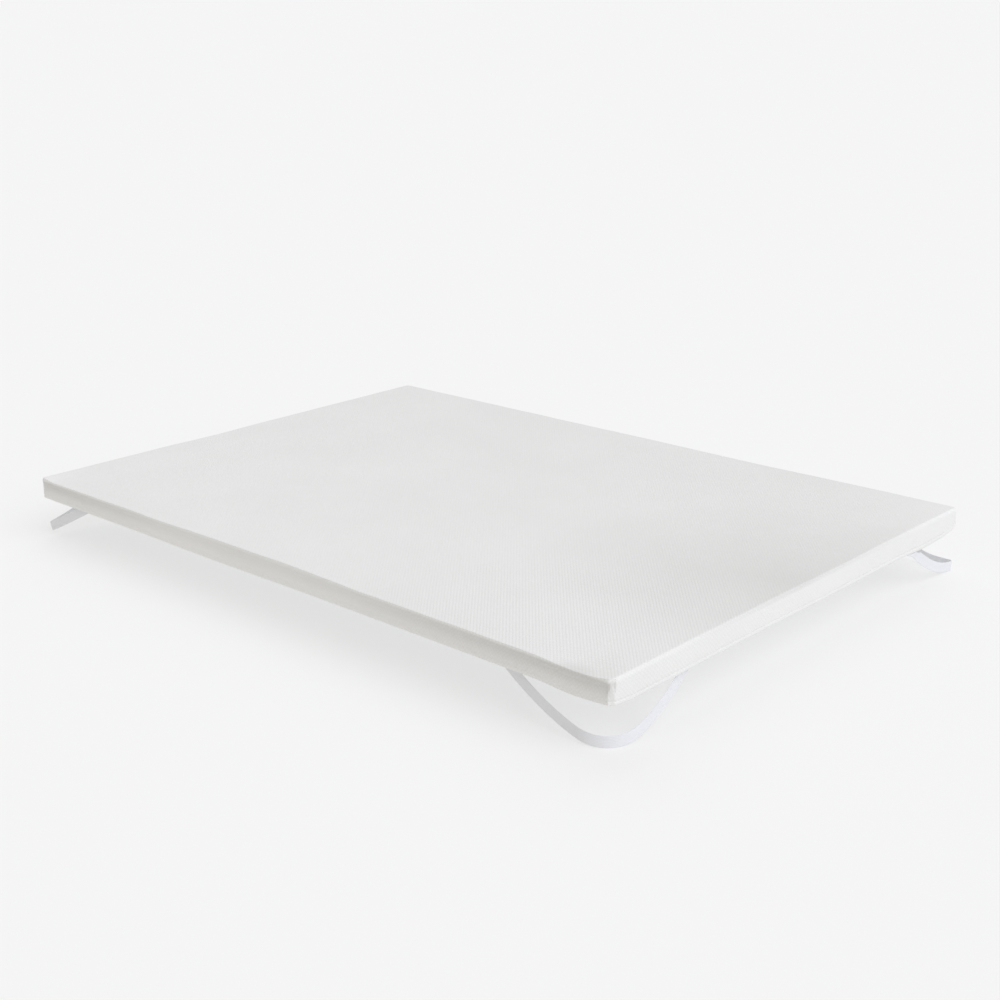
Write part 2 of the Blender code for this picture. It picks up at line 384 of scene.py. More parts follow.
# Painted shadow: the short sides are darker along their lower edge, between these heights
PAINTED_EDGE_SHADOW_HEIGHTS = (0.106, 0.118)
PAINTED_EDGE_SHADOW_TONE = -0.35
# Distances from the middle between which the long sides' tone becomes the short sides'
SHORT_SIDE_FROM = (0.991, 0.995)


def around(knit, position, place, reach):
    """1 at a place, falling evenly to 0 at its reach."""
    inputs = {"Vector": position, "Location": place, "Scale": reach}
    offset = knit.add("ShaderNodeMapping", inputs, vector_type="TEXTURE").outputs["Vector"]
    fall = knit.add("ShaderNodeTexGradient", {"Vector": offset}, gradient_type="SPHERICAL")
    return fall.outputs["Fac"]


def painted_top_light(knit, position, x):
    """Painted light and shade on the top: paler to the left and at the near right corner, darker by the
    near short edge.
    """
    tone = knit.line(x, -HALF_X, HALF_X, *TOP_PAINTED_LIGHT)
    painted_shade_spot = knit.math("MULTIPLY", around(knit, position, PAINTED_SHADE_PLACE, PAINTED_SHADE_REACH), PAINTED_SHADE_TONE)
    painted_light_spot = knit.math("MULTIPLY", around(knit, position, PAINTED_LIGHT_PLACE, PAINTED_LIGHT_REACH), PAINTED_LIGHT_TONE)
    return knit.math("ADD", knit.math("SUBTRACT", tone, painted_shade_spot), painted_light_spot)


def painted_side_shade(knit, x, y, up):
    """Painted shade on the sides: darker under the rim, on the long sides more so towards their ends.
    """
    low, high = SIDE_PAINTED_SHADE_HEIGHTS
    from_middle = knit.math("ABSOLUTE", knit.math("SUBTRACT", y, LONG_SIDE_MIDDLE))
    ends = knit.line(from_middle, *LONG_END_DISTANCES)
    ends = knit.math("MULTIPLY", ends, knit.line(up, low, high, *LONG_END_PAINTED_SHADE))
    long_side = knit.math("ADD", knit.line(up, low, high, *LONG_SIDE_PAINTED_SHADE), ends)
    along = knit.line(x, -HALF_X, HALF_X, *SHORT_SIDE_PAINTED_LIGHT)
    short_side = knit.math("ADD", along, knit.line(up, low, high, *SHORT_RISE_PAINTED_LIGHT))
    # Painted shadow along the lower edge
    painted_edge_shadow = knit.line(up, *PAINTED_EDGE_SHADOW_HEIGHTS, PAINTED_EDGE_SHADOW_TONE, 0.0)
    short_side = knit.math("ADD", short_side, painted_edge_shadow)
    on_short_side = knit.ramp(knit.math("ABSOLUTE", y), *SHORT_SIDE_FROM)
    return knit.between(on_short_side, long_side, short_side)


def painted_light_drift(knit, position, x, y, up):
    """Painted light and shade: the drift of the tone over the whole pad, the light and shade that falls
    on the knit, painted into its colour.
    """
    on_top = knit.ramp(up, *PAINTED_LIGHT_RIM_HEIGHTS)
    return knit.between(on_top, painted_side_shade(knit, x, y, up), painted_top_light(knit, position, x))


def knit_material():
    """White stretch knit with small raised dots in staggered rows, with painted shade between the dots
    and painted light and shade over the whole pad.
    """
    knit = Nodes("knit_cover_white")
    place = knit.add("ShaderNodeUVMap", uv_map="cloth").outputs["UV"]
    scale = (1.0 / KNIT_DIAMOND[0], 1.0 / KNIT_DIAMOND[1], 1.0)
    turn = {"Vector": place, "Scale": scale, "Rotation": (0.0, 0.0, math.pi / 4)}
    turned = knit.add("ShaderNodeMapping", turn).outputs["Vector"]
    cell = {"Vector": turned, "Scale": math.sqrt(2.0), "Randomness": 0.10}
    cells = knit.add("ShaderNodeTexVoronoi", cell, voronoi_dimensions="2D")
    position = knit.add("ShaderNodeTexCoord").outputs["Object"]
    x, y, up = knit.add("ShaderNodeSeparateXYZ", {"Vector": position}).outputs
    relief = knit.line(up, *RELIEF_HEIGHTS, SIDE_RELIEF, TOP_RELIEF)
    away = knit.add("ShaderNodeVectorMath", {0: position, 1: RELIEF_CORNER}, operation="DISTANCE")
    away = knit.ramp(away.outputs["Value"], *RELIEF_DISTANCES)
    relief = knit.math("MULTIPLY", relief, knit.between(away, NEAR_RELIEF, FAR_RELIEF))
    dots = knit.math("MULTIPLY", knit.ramp(cells.outputs["Distance"], *DOT_EDGES), relief)
    wales = {"Vector": place, "Scale": 330.0, "Distortion": 1.4, "Detail": 1.0, "Detail Scale": 2.0}
    yarn = knit.add("ShaderNodeTexWave", wales, bands_direction="X")
    loops = knit.fine_noise(place, 900.0, 3.0)
    yarn_height = knit.math("MULTIPLY", yarn.outputs["Fac"], 0.10)
    fine = knit.math("ADD", yarn_height, knit.math("MULTIPLY", loops, 0.16))
    height = knit.math("ADD", dots, fine)
    cloud = knit.add("ShaderNodeTexNoise", {"Vector": position, "Scale": 4.5, "Detail": 3.0})
    clouds = knit.math("MULTIPLY", cloud.outputs["Fac"], 0.45)
    # The dots' share of the tone is painted shade: darker in the hollows between the dots, paler on
    # them, as strong as their relief
    tone = knit.math("ADD", knit.math("MULTIPLY", dots, 0.55), clouds)
    # Painted light and shade over the whole pad is added to the knit's tone
    tone = knit.math("ADD", tone, painted_light_drift(knit, position, x, y, up))
    color = knit.blend(knit.line(tone, *KNIT_TONES), KNIT_DARK_AND_PAINTED_SHADE, KNIT_PALE)
    rough = knit.line(loops, 0.0, 1.0, 0.82, 0.98)
    return knit.surface(color, height, (0.55, 0.0011), rough, specular=0.25, sheen=0.08)


def elastic_material():
    """Cool white woven elastic: ribs along the band, with fine picks across them."""
    band = Nodes("elastic_white")
    place = band.add("ShaderNodeUVMap", uv_map="cloth").outputs["UV"]
    along = {"Vector": place, "Scale": 95.0, "Distortion": 0.15}
    ribs = band.add("ShaderNodeTexWave", along, bands_direction="X")
    across = {"Vector": place, "Scale": 260.0, "Distortion": 0.6}
    picks = band.add("ShaderNodeTexWave", across, bands_direction="Y")
    weave = band.math("MULTIPLY", ribs.outputs["Fac"], picks.outputs["Fac"])
    height = band.math("ADD", weave, band.math("MULTIPLY", band.fine_noise(place, 700.0, 2.0), 0.2))
    color = band.blend(height, (0.73, 0.735, 0.757), (0.83, 0.835, 0.856))
    rough = band.line(weave, 0.0, 1.0, 0.62, 0.48)
    return band.surface(color, height, (0.5, 0.0004), rough, specular=0.4, sheen=0.05)


def thread_material():
    """White sewing thread, with the grain of its twist."""
    thread = Nodes("thread_white")
    position = thread.add("ShaderNodeTexCoord").outputs["Object"]
    twist = thread.add("ShaderNodeTexNoise", {"Vector": position, "Scale": 1500.0, "Detail": 2.0})
    twist = twist.outputs["Fac"]
    color = thread.blend(twist, (0.70, 0.70, 0.69), (0.84, 0.84, 0.83))
    return thread.surface(color, twist, (0.4, 0.0002), 0.6, specular=0.5)


# The pad

# The pad's sides in order, anticlockwise from the near short one: the direction along each, the
# direction out of it, how much more its knit is drawn in under the rim, and how crisp the rim is
SIDES = (
    {"along": (1, 0), "out": (0, -1), "draw": 0.0006, "crisp": 0.0},
    {"along": (0, 1), "out": (1, 0), "draw": 0.0012, "crisp": 0.2},
    {"along": (-1, 0), "out": (0, 1), "draw": 0.0010, "crisp": 0.2},
    {"along": (0, -1), "out": (-1, 0), "draw": 0.0045, "crisp": 0.5},
)

# The pad's corners, from the near right one anticlockwise: the radius, how flat the knit is
# stretched across it, and a short deep fold in its upper part, with its place past the corner's
# middle, depth and lowest height. lift is how far the underside is pulled up.
CORNERS = (
    {"radius": 0.0055, "flatness": 0.0, "lift": 0.0030,
     "fold_at": 0.0030, "fold_depth": 0.0006, "fold_from": 0.026},
    {"radius": 0.0090, "flatness": 0.5, "lift": 0.0010,
     "fold_at": -0.0060, "fold_depth": 0.0018, "fold_from": 0.024},
    {"radius": 0.0080, "flatness": 0.3, "lift": 0.0005,
     "fold_at": 0.0055, "fold_depth": 0.0020, "fold_from": 0.028},
    {"radius": 0.0110, "flatness": 0.9, "lift": 0.0005,
     "fold_at": 0.0080, "fold_depth": 0.0050, "fold_from": 0.028},
)
SMALLEST_RADIUS = 1e-6


def step_at(distance):
    """Length of the mesh's steps along a side at a distance from its corner."""
    step = min(FINE_STEP + STEP_GROWTH * max(distance - CORNER_REACH, 0.0), SIDE_STEP)
    if STRAP_ZONE[0] < distance < STRAP_ZONE[1]:
        step = STRAP_STEP
    return step


def side_fractions(length):
    """Places along a side from 0 to 1, closest together at its corners and over the straps."""
    half = [0.0]
    while half[-1] < length / 2:
        half.append(half[-1] + step_at(half[-1]))
    if len(half) % 2 == 0:
        half.append(half[-1] + SIDE_STEP)
    half = np.array(half) * length / 2 / half[-1]
    return np.concatenate([half, length - half[-2::-1]]) / length


def side_reach(side):
    """Half the side's length, and how far the side is from the pad's middle."""
    return (HALF_X, HALF_Y) if side["along"][0] else (HALF_Y, HALF_X)


def pad_profile():
    """The rings from the underside round the rim to the top: inset, height, and the share of the
    side's own draw-in that each takes."""
    rings = [(inset, 0.0, 0.0) for inset in UNDERSIDE_INSETS]
    for step in range(1, BOTTOM_RIM_STEPS + 1):
        angle = 0.5 * math.pi * step / BOTTOM_RIM_STEPS
        inset = BOTTOM_RIM_INSET - BOTTOM_RIM_RADIUS * math.sin(angle)
        rings.append((inset, BOTTOM_RIM_RADIUS * (1.0 - math.cos(angle)), 0.0))
    for inset, height in SIDE_RINGS:
        part = (height - SEAM_HEIGHT) / (PAD_THICKNESS - TOP_RIM_HEIGHT - SEAM_HEIGHT)
        part = min(max(part, 0.0), 1.0)
        rings.append((inset, height, math.sin(math.pi * part ** DRAW_POWER)))
    for degrees in TOP_RIM_ANGLES:
        angle = math.radians(degrees)
        inset = TOP_RIM_INSET - TOP_RIM_WIDTH * math.cos(angle)
        height = PAD_THICKNESS - TOP_RIM_HEIGHT * (1.0 - math.sin(angle))
        rings.append((inset, height, 0.0))
    rings += [(inset, PAD_THICKNESS, 0.0) for inset in TOP_INSETS]
    return rings


def corner_radius(number, inset, end):
    """Radius of a ring at one end of a side: -1 for the side's first corner, 1 for its last."""
    corner = CORNERS[number if end > 0 else number - 1]
    return max(corner["radius"] - inset, SMALLEST_RADIUS)


def half_run(number, inset, end):
    """Length along a side's ring from its middle to the middle of its corner."""
    radius = corner_radius(number, inset, end)
    return side_reach(SIDES[number])[0] - inset - radius + radius * math.pi / 4


def side_points(number, fractions, inset):
    """Plan places along a side of the rounded rectangle at an inset, its last corner left out."""
    side = SIDES[number]
    half_length, half_across = side_reach(side)
    share = 2.0 * fractions[:-1] - 1.0
    radius = np.where(share < 0, corner_radius(number, inset, -1), corner_radius(number, inset, 1))
    straight = half_length - inset - radius
    run = share * (straight + radius * math.pi / 4)
    angle = np.maximum(np.abs(run) - straight, 0.0) / radius
    along = np.sign(run) * (np.minimum(np.abs(run), straight) + radius * np.sin(angle))
    out = half_across - inset - radius * (1.0 - np.cos(angle))
    t, n = np.array(side["along"]), np.array(side["out"])
    return along[:, None] * t + out[:, None] * n


def sunk(x, y):
    """How far the pad has sunk at places in plan."""
    depth = np.zeros_like(x)
    for dip in DIPS:
        (middle_x, middle_y), (reach_x, reach_y) = dip["centre"], dip["reach"]
        across = ((x - middle_x) / reach_x) ** 2 + ((y - middle_y) / reach_y) ** 2
        depth += dip["depth"] * np.maximum(1.0 - across, 0.0) ** 2
    return depth


def edge_sag(x, y, z):
    """How far a place sags with the lower edge of the near short side."""
    near_strap = smooth_step(1.0 - np.abs(x - STRAP_SAG_PLACE) / STRAP_SAG_REACH)
    along = (EDGE_SAG + STRAP_SAG * near_strap) * smooth_step((HALF_X - np.abs(x)) / SAG_REACH_CORNER)
    inwards = smooth_step(1.0 - (y + HALF_Y) / SAG_REACH_IN)
    above = 1.0 - smooth_step((z - UNDERSIDE_HEIGHT) / SAG_REACH_UP)
    below = smooth_step(1.0 + (z - UNDERSIDE_HEIGHT) / SAG_REACH_DOWN)
    return along * inwards * above * below


def rim_sag(x, y, share):
    """How far the rim of the left long side sags at a share of the pad's thickness."""
    from_place = np.abs(y - RIM_HOLD_PLACE) - RIM_HOLD_REACH
    along = RIM_SAG * smooth_step(from_place / RIM_SAG_REACH_ALONG)
    ends = smooth_step((HALF_Y - np.abs(y)) / RIM_SAG_REACH_CORNER)
    inwards = smooth_step(1.0 - (x + HALF_X) / RIM_SAG_REACH_IN)
    return along * ends * inwards * smooth_step((share - RIM_SAG_FROM) / (1.0 - RIM_SAG_FROM))


def drawn_in(x, y):
    """Places in plan, drawn in towards the middle of their side."""
    draw_x = SIDE_DRAW_IN / HALF_X * np.cos(math.pi * y / PAD_LENGTH)
    draw_y = SIDE_DRAW_IN / HALF_Y * np.cos(math.pi * x / PAD_WIDTH)
    return np.stack([x * (1.0 - draw_x), y * (1.0 - draw_y)], axis=1)


class PadMesh:
    """The pad's rings and the grids that close them, with the cloth coordinates of each face."""

    def __init__(self):
        self.fractions = [side_fractions(2 * side_reach(side)[0]) for side in SIDES]
        self.counts = [len(f) - 1 for f in self.fractions]
        self.profile = pad_profile()
        self.points = []
        self.info = []
        self.faces = []
        self.face_cloth = []
        self.arc = self.arc_lengths()

    def arc_lengths(self):
        """Length over the cloth from the innermost top ring out and down to each ring."""
        lengths = [0.0]
        for before, after in zip(self.profile[::-1], self.profile[-2::-1]):
            lengths.append(lengths[-1] + math.hypot(before[0] - after[0], before[1] - after[1]))
        return lengths[::-1]

    def ring(self, index, stride):
        """Adds a ring's vertices and lists the face corners along each side: the vertex, and its
        ring, side and place. A side's last corner is the vertex that the next side begins with."""
        inset, height, _ = self.profile[index]
        rows = []
        for number in range(len(SIDES)):
            rows.append([])
            fractions = self.fractions[number][::stride]
            for place, (x, y) in enumerate(side_points(number, fractions, inset)):
                info = (index, number, place * stride)
                rows[-1].append((len(self.points), info))
                self.points.append((x, y, height))
                self.info.append(info)
        starts = [row[0][0] for row in rows]
        for number, row in enumerate(rows):
            row.append((starts[(number + 1) % len(rows)], (index, number, self.counts[number])))
        return rows

    def cloth_at(self, index, number, place):
        """Cloth coordinates of a ring's vertex as seen from one side's panel."""
        side = SIDES[number]
        half_across = side_reach(side)[1]
        share = 2.0 * self.fractions[number][place] - 1.0
        along = share * half_run(number, self.profile[index][0], share)
        out = half_across - self.profile[-1][0] + self.arc[index]
        t, n = side["along"], side["out"]
        return (along * t[0] + out * n[0], along * t[1] + out * n[1])

    def band(self, lower, upper):
        """Faces between two rings, of which one may have twice the vertices of the other."""
        for low, high in zip(lower, upper):
            fine, coarse = (low, high) if len(low) > len(high) else (high, low)
            for i in range(len(coarse) - 1):
                if len(low) == len(high):
                    self.face((low[i], low[i + 1], high[i + 1], high[i]))
                    continue
                a, b, c = fine[2 * i:2 * i + 3]
                d, e = coarse[i:i + 2]
                for corners in ((a, b, d), (b, e, d), (b, c, e)):
                    self.face(corners if fine is low else corners[::-1])

    def face(self, corners):
        self.faces.append([corner[0] for corner in corners])
        self.face_cloth.append([self.cloth_at(*corner[1]) for corner in corners])

    def grid(self, rows, stride, height, upward):
        """Closes a ring with a grid whose boundary is that ring."""
        nx, ny = self.counts[0] // stride, self.counts[1] // stride
        fx, fy = self.fractions[0][::stride], self.fractions[1][::stride]
        ring = [vertex for row in rows for vertex, _ in row[:-1]]
        first_x, first_y, _ = self.points[ring[0]]
        edge = [(i, 0) for i in range(nx)] + [(nx, j) for j in range(ny)]
        edge += [(nx - i, ny) for i in range(nx)] + [(0, ny - j) for j in range(ny)]
        number = dict(zip(edge, ring))
        for i in range(1, nx):
            for j in range(1, ny):
                number[i, j] = len(self.points)
                x, y = first_x * (1.0 - 2.0 * fx[i]), first_y * (1.0 - 2.0 * fy[j])
                self.points.append((x, y, height))
                self.info.append((-1, -1, -1))
        for i in range(nx):
            for j in range(ny):
                quad = [number[i, j], number[i + 1, j], number[i + 1, j + 1], number[i, j + 1]]
                if not upward:
                    quad.reverse()
                self.faces.append(quad)
                self.face_cloth.append([tuple(self.points[v][:2]) for v in quad])

    def build(self):
        """Underside grid, rings and top grid. The rings are coarser where they meet the grids."""
        fine = len(self.profile) - len(UNDERSIDE_STRIDES) - len(TOP_STRIDES)
        strides = [*UNDERSIDE_STRIDES, *[1] * fine, *TOP_STRIDES]
        rings = [self.ring(index, stride) for index, stride in enumerate(strides)]
        for lower, upper in zip(rings, rings[1:]):
            self.band(lower, upper)
        self.grid(rings[0], strides[0], 0.0, False)
        self.grid(rings[-1], strides[-1], PAD_THICKNESS, True)


def pad_base_shape(pad):
    """Crown, dips, draw-in and the soft unevenness of the filling, on the flat-sided form."""
    x, y, flat = np.array(pad.points).T
    info, profile = np.array(pad.info), np.array(pad.profile)
    is_top = np.isclose(flat, PAD_THICKNESS)
    crown = (1.0 - (2 * x / PAD_WIDTH) ** 4) * (1.0 - (2 * y / PAD_LENGTH) ** 4)
    height = flat + PAD_CROWN * np.maximum(crown, 0.0) * is_top
    share = flat / PAD_THICKNESS
    uneven = np.zeros_like(x)
    for pitch, layer, size in UNEVEN_WAVES:
        waves = [noise.noise((px * pitch, py * pitch, layer)) for px, py in zip(x, y)]
        uneven += size * np.array(waves)
    height = height + UNEVEN_RISE * uneven * share
    height = height - sunk(x, y) - rim_sag(x, y, share)
    # How far inside the side's face each ring of the top rim is
    rim_inset = np.zeros(len(profile))
    rim_inset[RIM_RING:TOP_RING] = profile[RIM_RING:TOP_RING, 0] - profile[RIM_RING, 0]
    plan = drawn_in(x, y)
    for number, side in enumerate(SIDES):
        chosen = info[:, 1] == number
        ring, _, place = info[chosen].T
        fractions = pad.fractions[number][place]
        reach = side_reach(side)[0]
        ends = smooth_step(np.minimum(fractions, 1 - fractions) * 2 * reach / CORNER_REACH)
        shift = rim_inset[ring] * side["crisp"] - profile[ring, 2] * side["draw"]
        plan[chosen] += (shift * ends)[:, None] * np.array(side["out"])
    z = UNDERSIDE_HEIGHT + height
    return np.column_stack([plan, z - edge_sag(plan[:, 0], plan[:, 1], z)])


# How the knit settles as cloth: frames run, greatest move, pressure of the filling, spare length
# of the side's knit, and how firmly the rim is held
SWELL_FRAMES = 14
SWELL_CAP = 0.0022
SWELL_PRESSURE = 0.5
COVER_SLACK = 0.012
HOLD_RIM = 0.30
HOLD_ABOVE_SEAM = (0.9, 0.6, 0.3, 0.1)
CLOTH_SETTINGS = {
    "quality": 5,
    "mass": 0.05,
    "tension_stiffness": 25.0,
    "compression_stiffness": 25.0,
    "shear_stiffness": 8.0,
    "bending_stiffness": 0.02,
    "vertex_group_mass": "held",
    "pin_stiffness": 1.0,
    "vertex_group_shrink": "slack",
    "shrink_min": 0.0,
    "shrink_max": -COVER_SLACK,
    "use_pressure": True,
    "uniform_pressure_force": SWELL_PRESSURE,
}


def settle(piece, pad):
    """Lets the knit swell and pucker over its filling as cloth, between the seam and the top."""
    held_by_ring = np.ones(len(pad.profile))
    held_by_ring[ABOVE_SEAM_RING:RIM_RING] = 0.0
    held_by_ring[ABOVE_SEAM_RING:ABOVE_SEAM_RING + len(HOLD_ABOVE_SEAM)] = HOLD_ABOVE_SEAM
    held_by_ring[RIM_RING:TOP_RING] = HOLD_RIM
    slack_by_ring = np.zeros(len(pad.profile))
    slack_by_ring[ABOVE_SEAM_RING:RIM_RING] = 1.0
    ring = np.array(pad.info)[:, 0]
    zones = {
        "held": np.where(ring >= 0, held_by_ring[ring], 1.0),
        "slack": np.where(ring >= 0, slack_by_ring[ring], 0.0),
    }
    for name, shares in zones.items():
        group = piece.vertex_groups.new(name=name)
        for share in np.unique(shares):
            group.add(np.nonzero(shares == share)[0].tolist(), float(share), "REPLACE")
    start = pad_points(piece)
    cloth = piece.modifiers.new("swell", "CLOTH")
    settings = cloth.settings
    for name, value in CLOTH_SETTINGS.items():
        setattr(settings, name, value)
    settings.effector_weights.gravity = 0.0
    cloth.collision_settings.use_collision = False
    scene = bpy.context.scene
    for number in range(1, SWELL_FRAMES + 1):
        scene.frame_set(number)
    graph = bpy.context.evaluated_depsgraph_get()
    moved = pad_points(piece.evaluated_get(graph)) - start
    piece.modifiers.remove(cloth)
    piece.vertex_groups.clear()
    scene.frame_set(1)
    length = np.linalg.norm(moved, axis=1)
    moved *= np.minimum(1.0, SWELL_CAP / np.maximum(length, SMALLEST_LENGTH))[:, None]
    place_points(piece, start + moved)


# The knit over the corners: how flat it is stretched, its fold, its pulled-up underside, its ridges,
# and the puckers beside them
FOLD_WIDTH = 0.0012
FOLD_END = 0.006
LIFT_REACH = 0.018
LIFT_HEIGHT = 0.030
RIDGE_PITCH = 0.0037
RIDGE_RISE = 0.0003
RIDGE_REACH = 0.008
# A ridge ends at so many times its reach from the corner
RIDGE_FADE = 1.5
PUCKER_PITCH = 0.0085
PUCKER_EVEN_SHARE = 0.45
PUCKER_TURN_BY_SIDE = 1.9
WOBBLE = 2.0
WOBBLES_PER_METRE = 40
WOBBLE_LAYER = 3.7
# Rows of puckers: distance from the corner, width, rise and phase
PUCKERS = ((0.0135, 0.0036, 0.0006, 0.4), (0.0215, 0.0042, 0.0004, 2.6))
# Creases over each sewn strap: place along the side from the strap's middle, lean, width, depth
STRAP_CREASES = (
    (-0.0125, -0.40, 0.0030, 0.0011),
    (-0.0020, -0.10, 0.0026, 0.0008),
    (0.0110, 0.35, 0.0032, 0.0012),
)
CREASE_REACH = 0.016


def strap_distances(number):
    """Distances of the two sewn strap ends from a side's first and last corner."""
    span = "short_span" if SIDES[number]["along"][0] else "long_span"
    return STRAPS[number][span], STRAPS[(number + 1) % len(STRAPS)][span]


def corner_place(pad, ring, number, place):
    """A ring's vertex seen from its nearest corner: the corner's form, the distance past its
    middle anticlockwise, how far the arc bows out there and the direction out of the pad."""
    side = SIDES[number]
    inset = pad.profile[ring][0]
    share = 2.0 * pad.fractions[number][place] - 1.0
    end = math.copysign(1.0, share)
    form = CORNERS[number if end > 0 else number - 1]
    past = (share - end) * half_run(number, inset, end)
    radius = corner_radius(number, inset, end)
    turned = max(radius * math.pi / 4 - abs(past), 0.0) / radius if inset < form["radius"] else 0.0
    out = np.array(side["out"]) * math.cos(turned) + np.array(side["along"]) * math.sin(turned) * end
    bow = radius * (math.cos(math.pi / 4 - turned) - math.cos(math.pi / 4)) if turned else 0.0
    return form, past, bow, out


def bell(offset, width):
    """1 at no offset, falling smoothly to both sides."""
    return math.exp(-((offset / width) ** 2))


def corner_relief(point, form, past, height, number):
    """How far the knit stands out near a corner: its fold, its ridges and the puckers beside it."""
    from_corner = abs(past)
    upper = smooth_step((height - form["fold_from"]) / FOLD_END)
    rise = -form["fold_depth"] * bell(past - form["fold_at"], FOLD_WIDTH) * upper
    ridge = math.cos(2 * math.pi * (past - form["fold_at"]) / RIDGE_PITCH)
    rise -= RIDGE_RISE * ridge * smooth_step(RIDGE_FADE - from_corner / RIDGE_REACH)
    x, y = point[0] * WOBBLES_PER_METRE, point[1] * WOBBLES_PER_METRE
    turn = 2 * math.pi * height / PUCKER_PITCH + number * PUCKER_TURN_BY_SIDE
    turn += WOBBLE * noise.noise((x, y, number * WOBBLE_LAYER))
    for distance, width, greatest, phase in PUCKERS:
        wave = (1.0 - PUCKER_EVEN_SHARE) * math.sin(turn + phase)
        rise += greatest * bell(from_corner - distance, width) * (PUCKER_EVEN_SHARE + wave)
    return rise


def strap_relief(past, height, number):
    """How deep the knit is creased over the sewn end of a strap."""
    middle = strap_distances(number)[0 if past > 0 else 1]
    above = max(height - SEAM_HEIGHT, 0.0)
    depth = 0.0
    for offset, lean, width, greatest in STRAP_CREASES:
        line = middle + offset + lean * above
        depth += greatest * bell(abs(past) - line, width)
    return -depth * math.exp(-above / CREASE_REACH)


def sew(piece, pad):
    """Stretches the knit over the corners with their folds, and creases it over the sewn straps."""
    points = pad_points(piece)
    for index, (ring, number, place) in enumerate(pad.info):
        if ring < 0:
            continue
        inset, height, _ = pad.profile[ring]
        form, past, bow, out = corner_place(pad, ring, number, place)
        from_corner = abs(past)
        if from_corner > STRAP_ZONE[1] + CREASE_REACH:
            continue
        shift = -form["flatness"] * bow
        near = smooth_step(1.0 - from_corner / LIFT_REACH) * smooth_step(1.0 - height / LIFT_HEIGHT)
        near *= smooth_step(1.0 - inset / LIFT_REACH)
        points[index][2] += form["lift"] * near
        if ABOVE_SEAM_RING <= ring < TOP_RING:
            fade = 1.0 - smooth_step((ring - RIM_RING) / (TOP_RING - 1 - RIM_RING))
            shift += corner_relief(points[index], form, past, height, number) * fade
            shift += strap_relief(past, height, number)
        points[index][:2] += out * shift
    place_points(piece, points)


def pad_points(piece):
    points = np.empty(len(piece.data.vertices) * 3, dtype=np.float32)
    piece.data.vertices.foreach_get("co", points)
    return points.reshape(-1, 3).astype(float)


def place_points(piece, points):
    piece.data.vertices.foreach_set("co", points.astype(np.float32).ravel())
    piece.data.update()


def make_pad():
    pad = PadMesh()
    pad.build()
    piece = add_mesh("pad_cover", pad_base_shape(pad), pad.faces, knit_material())
    settle(piece, pad)
    sew(piece, pad)
    add_cloth_map(piece, [corner for face in pad.face_cloth for corner in face])
    return piece, pad


# The straps


def turn_point(strap, run):
    """Distances of the band's middle layer from the pad's two edges, and its inward direction.

    run is measured along the band from the middle of its turn: negative along the pad's long
    side, positive along the short one. Each result has the part across X first.
    """
    inset = strap["inset"] + STRAP_THICKNESS / 2
    half_turn = strap["turn"] * math.pi / 4
    angle = math.pi / 4 - min(abs(run), half_turn) / strap["turn"]
    straight = max(abs(run) - half_turn, 0.0)
    own = inset + strap["turn"] * (1.0 - math.cos(angle))
    other = inset + strap["turn"] * (1.0 - math.sin(angle)) + straight
    inward_own = math.cos(angle)
    inward_other = math.sin(angle)
    if run < 0:
        return (own, other), (inward_own, inward_other)
    return (other, own), (inward_other, inward_own)


def band_point(strap, run, rise, proud):
    """A place on the band, proud by so much of its middle layer towards the outside."""
    (edge_x, edge_y), (inward_x, inward_y) = turn_point(strap, run)
    tab_height = UNDERSIDE_HEIGHT - SEAM_GAP - STRAP_THICKNESS / 2
    angle = min(max(rise, 0.0), STRAP_FOLD_LENGTH) / STRAP_FOLD_RADIUS
    flat_part = max(rise - STRAP_FOLD_LENGTH, 0.0)
    inwards = STRAP_FOLD_RADIUS * (1.0 - math.cos(angle)) + flat_part - math.cos(angle) * proud
    height = tab_height - STRAP_FOLD_RADIUS * (1.0 - math.sin(angle)) + min(rise, 0.0)
    height += math.sin(angle) * proud
    x = strap["sign_x"] * (HALF_X - edge_x - inward_x * inwards)
    y = strap["sign_y"] * (HALF_Y - edge_y - inward_y * inwards)
    return Vector((x, y, height - edge_sag(x, y, height)))


def band_centre(strap, side, distance):
    """Height of the band's centre line against its fold, and its slope, at a distance."""
    depth = strap["drop"] - SEAM_GAP - STRAP_THICKNESS / 2 - STRAP_FOLD_RADIUS - STRAP_WIDTH / 2
    power = strap[side + "_power"]
    reach = strap[side + "_span"] - strap["flat"]
    part = max(distance - strap["flat"], 0.0) / reach
    rise = depth * (part ** power - 1.0)
    slope = depth * power / reach * part ** (power - 1.0)
    return rise, math.atan(slope)


def end_line(strap, side, rise):
    """The middle of the band's cross line at a rise past its fold, and half that line's length."""
    span = strap[side + "_span"]
    slope = band_centre(strap, side, span)[1]
    return span + rise / math.tan(slope), STRAP_WIDTH / 2 / math.sin(slope)


TURN_STEPS = 20
RISE_STEPS = 64
FOLD_STEPS = 8
TAB_SHARES = (0.25, 0.5, 0.75, 1.0)


